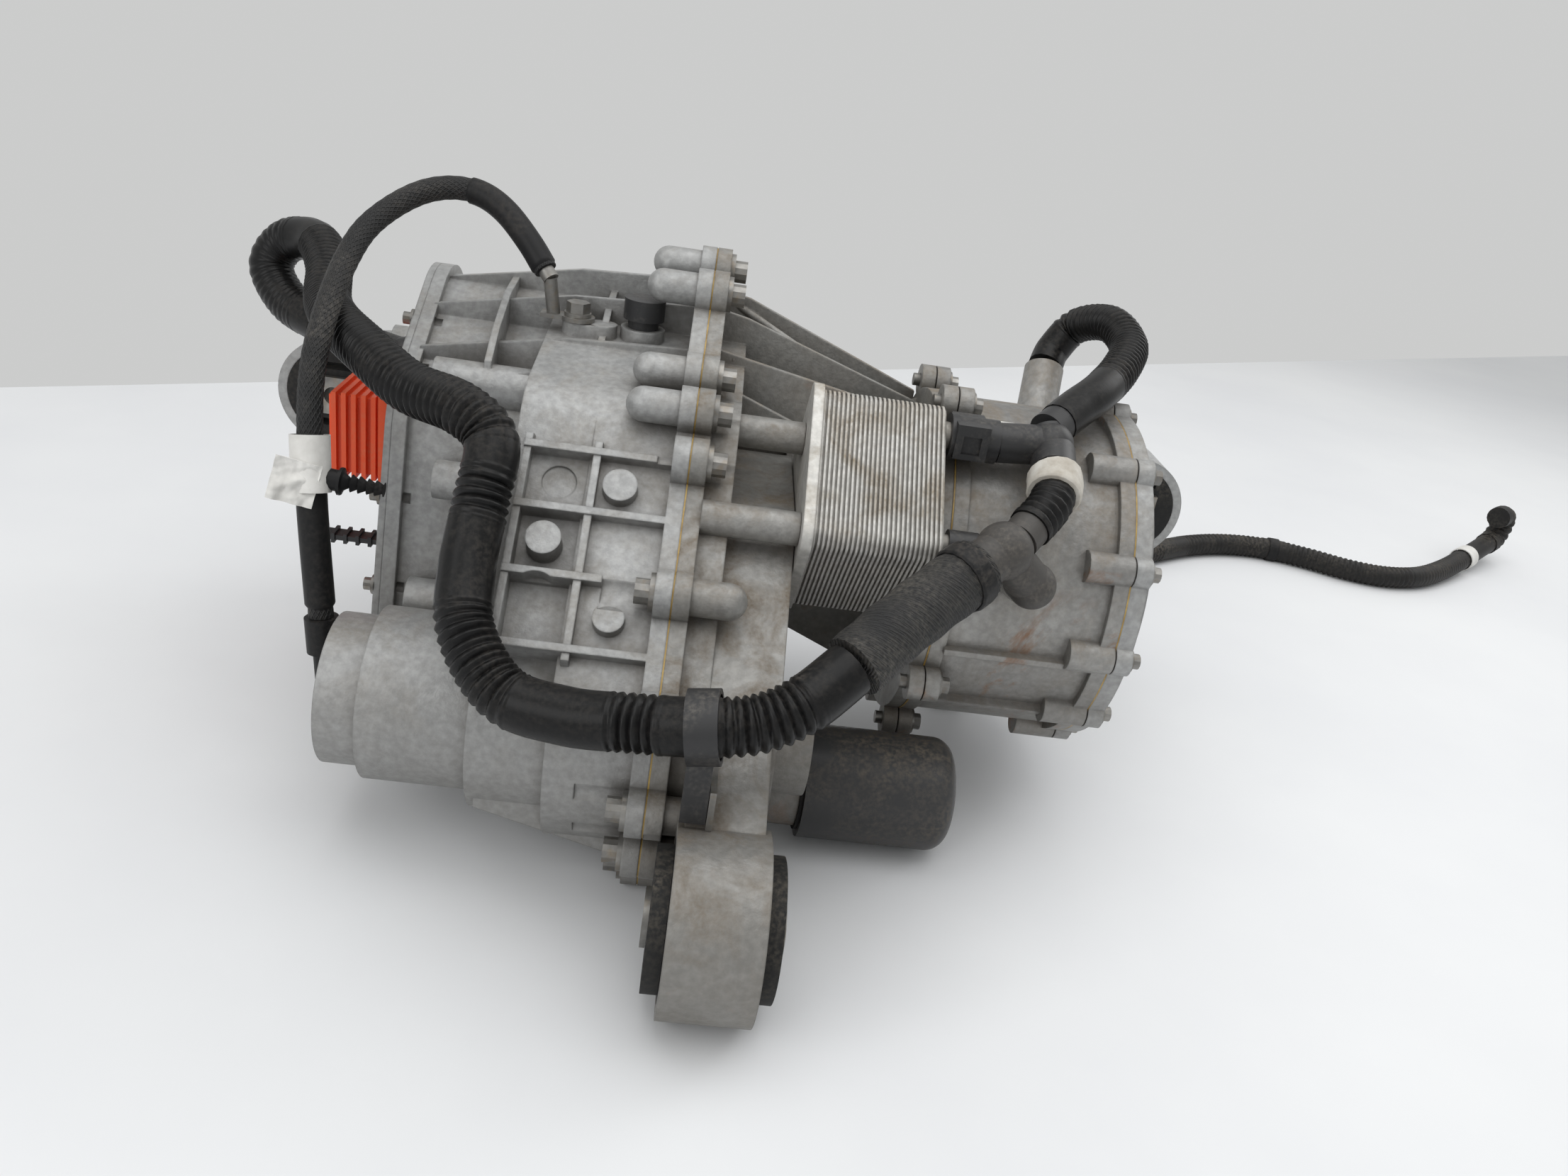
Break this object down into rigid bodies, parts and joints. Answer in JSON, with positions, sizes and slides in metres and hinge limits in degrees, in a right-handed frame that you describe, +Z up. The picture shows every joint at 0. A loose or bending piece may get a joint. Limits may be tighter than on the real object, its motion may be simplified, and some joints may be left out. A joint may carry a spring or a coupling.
{
  "type": "electric drive unit",
  "caption": "Electric drive unit with inverter housing, reduction gear, differential and motor in cast casings, with oil cooler, filter, coolant hoses and three rubber mounts.",
  "frame": {"origin": "on the drive axis, in the plane of the main housing joint", "axes": "+X along the drive axis towards the motor end, +Y to the rear, +Z up"},
  "size_m": [1.2344, 0.8494, 0.3209],
  "materials": {
    "cast_aluminium": "sand-cast, dusty",
    "motor_casting": "coarse cast, stained",
    "sealant": "squeezed bead",
    "zinc_steel": "plated",
    "gear_steel": "ground",
    "laminations": "stacked sheet",
    "copper": "enamelled wire",
    "brazed_aluminium": "bright, brazed",
    "black_plastic": "moulded",
    "orange_plastic": "moulded",
    "filter_paint": "satin",
    "black_rubber": "moulded",
    "hose": "corrugated",
    "braid": "woven sleeve",
    "white_paper": "blank",
    "junction_plastic": "moulded, dusty",
    "board": "laminate"
  },
  "bodies": {
    "housing": {"left_casing": "cast_aluminium", "inverter_cover": "cast_aluminium", "power_module": "cast_aluminium", "inverter_board": "board", "mid_casing": "cast_aluminium", "motor_housing": "motor_casting", "motor_cover": "cast_aluminium", "sealant_lines": "sealant", "joint_bolts_right": "zinc_steel", "joint_bolts_left": "zinc_steel", "cover_bolts": "zinc_steel", "stator_core": "laminations", "stator_windings": "copper", "bearings": "gear_steel", "output_seals": "black_rubber", "cooler_core": "brazed_aluminium", "cooler_base": "brazed_aluminium", "cooler_ports": "brazed_aluminium", "quick_connector": "black_plastic", "tee_fitting": "black_plastic", "lower_plug": "black_plastic", "junction_fitting": "junction_plastic", "oil_filter": "filter_paint", "filter_seal": "black_rubber", "front_bush_rubber": "black_rubber", "front_bush_sleeve": "zinc_steel", "rear_bush_rubbers": "black_rubber", "rear_bush_cores": "zinc_steel", "hv_connector": "orange_plastic", "breather_cap": "black_plastic", "ground_lug": "zinc_steel", "ground_bolt": "zinc_steel", "cable_standoff": "black_plastic", "inlet_fitting": "black_plastic", "main_hose": "hose", "braided_sleeve": "braid", "upper_hose": "hose", "branch_hose": "hose", "hose_clip": "black_plastic", "clip_bracket": "zinc_steel", "free_hose": "hose", "free_elbow": "black_plastic", "free_collar": "white_paper", "ground_cable": "braid", "cable_tag": "white_paper", "cable_end": "braid"},
    "rotor": {"rotor_shaft": "gear_steel", "rotor_core": "laminations", "input_pinion": "gear_steel"},
    "countershaft": {"counter_shaft": "gear_steel", "counter_gear": "gear_steel", "counter_pinion": "gear_steel"},
    "differential": {"ring_gear": "gear_steel", "diff_case": "gear_steel", "cross_pin": "gear_steel"},
    "left_side_gear": {"side_gear_left": "gear_steel"},
    "right_side_gear": {"side_gear_right": "gear_steel"},
    "upper_spider": {"spider_top": "gear_steel"},
    "lower_spider": {"spider_bottom": "gear_steel"}
  },
  "joints": [
    {"name": "ring_spin", "type": "hinge", "parent": "housing", "child": "differential", "pos_m": [0, 0, 0], "axis": [1, 0, 0], "continuous": true},
    {"name": "counter_spin", "type": "hinge", "parent": "housing", "child": "countershaft", "pos_m": [0, 0.06125, 0.04432], "axis": [1, 0, 0], "continuous": true},
    {"name": "rotor_spin", "type": "hinge", "parent": "housing", "child": "rotor", "pos_m": [0, 0.132, 0.066], "axis": [1, 0, 0], "continuous": true},
    {"name": "left_output_spin", "type": "hinge", "parent": "differential", "child": "left_side_gear", "pos_m": [0, 0, 0], "axis": [1, 0, 0], "continuous": true},
    {"name": "right_output_spin", "type": "hinge", "parent": "differential", "child": "right_side_gear", "pos_m": [0, 0, 0], "axis": [1, 0, 0], "continuous": true},
    {"name": "upper_spider_spin", "type": "hinge", "parent": "differential", "child": "upper_spider", "pos_m": [-0.033, 0, 0], "axis": [0, 0, 1], "continuous": true},
    {"name": "lower_spider_spin", "type": "hinge", "parent": "differential", "child": "lower_spider", "pos_m": [-0.033, 0, 0], "axis": [0, 0, 1], "continuous": true}
  ],
  "couplings": [
    {"joint": "counter_spin", "follows": "ring_spin", "ratio": -2.6},
    {"joint": "rotor_spin", "follows": "ring_spin", "ratio": 8.0889},
    {"joint": "right_output_spin", "follows": "left_output_spin", "ratio": -1},
    {"joint": "upper_spider_spin", "follows": "left_output_spin", "ratio": 1.4},
    {"joint": "lower_spider_spin", "follows": "left_output_spin", "ratio": -1.4}
  ]
}
